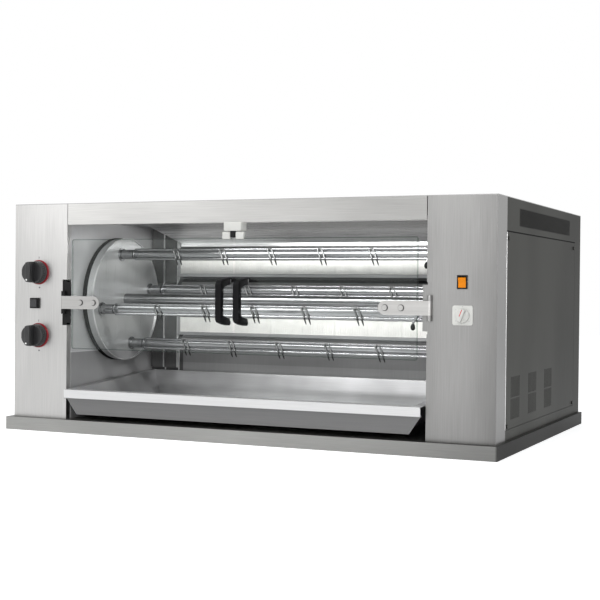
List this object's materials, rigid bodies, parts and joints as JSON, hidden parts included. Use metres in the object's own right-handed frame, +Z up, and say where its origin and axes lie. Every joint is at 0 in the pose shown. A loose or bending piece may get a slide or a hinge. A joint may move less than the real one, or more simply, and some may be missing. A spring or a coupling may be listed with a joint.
{
  "type": "countertop rotisserie",
  "caption": "Gas countertop rotisserie with glass doors, turning spits round a central tube, ceramic burners and a sloping drip tray drawer.",
  "frame": {"origin": "middle of the base pan's underside, on the surface that the part stands on", "axes": "+X to the right along the length, +Y to the back, +Z up; the doors face -Y"},
  "size_m": [1.278, 0.916, 0.57],
  "materials": {
    "stainless": "brushed",
    "dark_steel": "satin",
    "gear_steel": "satin",
    "glass": "clear",
    "black_plastic": "satin",
    "white_plastic": "semi gloss",
    "red_plastic": "semi gloss",
    "orange_plastic": "gloss",
    "ceramic": "matt",
    "brass": "satin",
    "motor_paint": "satin"
  },
  "bodies": {
    "casing": {"base_plinth": "stainless", "base_pan": "stainless", "left_column": "stainless", "right_column": "stainless", "fascia": "stainless", "top_cover": "stainless", "back_panel": "stainless", "left_side_panel": "stainless", "right_side_frame": "stainless", "right_service_panel": "stainless", "left_inner_wall": "stainless", "right_inner_wall": "stainless", "chamber_back": "dark_steel", "upper_hood": "dark_steel", "upper_burner": "stainless", "upper_ceramic_tiles": "ceramic", "lower_burner": "stainless", "lower_ceramic_tiles": "ceramic", "sun_gear": "gear_steel", "shaft_bearings": "brass", "gearmotor": "motor_paint", "gas_valves": "brass", "gas_pipework": "brass", "knob_bezels": "red_plastic", "igniter_housing": "black_plastic", "rocker_frame": "black_plastic", "switch_plate": "white_plastic", "left_hinge_bracket": "stainless", "right_hinge_bracket": "stainless", "door_catch": "white_plastic", "cable_gland": "black_plastic", "casing_screws": "stainless"},
    "rotor": {"drum_carrier": "stainless", "central_tube": "stainless", "right_wheel": "stainless", "drive_gear": "gear_steel"},
    "pinion": {"motor_pinion": "gear_steel"},
    "left_door": {"left_door_glass": "glass", "left_hinge_strap": "stainless", "left_door_handle": "black_plastic", "left_door_keeper": "white_plastic"},
    "right_door": {"right_door_glass": "glass", "right_hinge_strap": "stainless", "right_door_handle": "black_plastic", "right_door_keeper": "white_plastic"},
    "tray": {"drip_tray": "stainless"},
    "upper_gas_knob": {"upper_knob": "black_plastic"},
    "lower_gas_knob": {"lower_knob": "black_plastic"},
    "igniter": {"igniter_button": "black_plastic"},
    "rocker": {"rocker_switch": "orange_plastic"},
    "dial": {"switch_knob": "white_plastic"},
    "spit_body_1": {"planet_socket_1": "gear_steel", "spit_1": "stainless"},
    "spit_body_2": {"planet_socket_2": "gear_steel", "spit_2": "stainless"},
    "spit_body_3": {"planet_socket_3": "gear_steel", "spit_3": "stainless"},
    "spit_body_4": {"planet_socket_4": "gear_steel", "spit_4": "stainless"}
  },
  "joints": [
    {"name": "rotor_turn", "type": "hinge", "parent": "casing", "child": "rotor", "pos_m": [0, -0.181, 0.331], "axis": [1, 0, 0], "continuous": true},
    {"name": "pinion_turn", "type": "hinge", "parent": "casing", "child": "pinion", "pos_m": [-0.5, -0.106, 0.331], "axis": [1, 0, 0], "continuous": true},
    {"name": "spit_turn_1", "type": "hinge", "parent": "rotor", "child": "spit_body_1", "pos_m": [0, -0.06362, 0.35595], "axis": [1, 0, 0], "continuous": true},
    {"name": "spit_turn_2", "type": "hinge", "parent": "rotor", "child": "spit_body_2", "pos_m": [0, -0.20595, 0.44838], "axis": [1, 0, 0], "continuous": true},
    {"name": "spit_turn_3", "type": "hinge", "parent": "rotor", "child": "spit_body_3", "pos_m": [0, -0.29838, 0.30605], "axis": [1, 0, 0], "continuous": true},
    {"name": "spit_turn_4", "type": "hinge", "parent": "rotor", "child": "spit_body_4", "pos_m": [0, -0.15605, 0.21362], "axis": [1, 0, 0], "continuous": true},
    {"name": "left_door_hinge", "type": "hinge", "parent": "casing", "child": "left_door", "pos_m": [-0.4795, -0.413, 0.323], "axis": [0, 0, -1], "range_deg": [0, 110]},
    {"name": "right_door_hinge", "type": "hinge", "parent": "casing", "child": "right_door", "pos_m": [0.4795, -0.413, 0.323], "axis": [0, 0, 1], "range_deg": [0, 110]},
    {"name": "tray_slide", "type": "slide", "parent": "casing", "child": "tray", "axis": [0, -0.9976, -0.0698], "range_m": [0, 0.33]},
    {"name": "upper_knob_turn", "type": "hinge", "parent": "casing", "child": "upper_gas_knob", "pos_m": [-0.557, -0.409, 0.398], "axis": [0, -1, 0], "range_deg": [0, 180]},
    {"name": "lower_knob_turn", "type": "hinge", "parent": "casing", "child": "lower_gas_knob", "pos_m": [-0.557, -0.409, 0.239], "axis": [0, -1, 0], "range_deg": [0, 180]},
    {"name": "igniter_press", "type": "slide", "parent": "casing", "child": "igniter", "axis": [0, 1, 0], "range_m": [0, 0.0026], "stiffness_N_per_m": 800},
    {"name": "rocker_tip", "type": "hinge", "parent": "casing", "child": "rocker", "pos_m": [0.5525, -0.405, 0.3805], "axis": [1, 0, 0], "range_deg": [-16, 0]},
    {"name": "dial_turn", "type": "hinge", "parent": "casing", "child": "dial", "pos_m": [0.554, -0.409, 0.3085], "axis": [0, 1, 0], "range_deg": [0, 270]}
  ],
  "couplings": [
    {"joint": "pinion_turn", "follows": "rotor_turn", "ratio": -4},
    {"joint": "spit_turn_1", "follows": "rotor_turn", "ratio": 3},
    {"joint": "spit_turn_2", "follows": "rotor_turn", "ratio": 3},
    {"joint": "spit_turn_3", "follows": "rotor_turn", "ratio": 3},
    {"joint": "spit_turn_4", "follows": "rotor_turn", "ratio": 3}
  ]
}
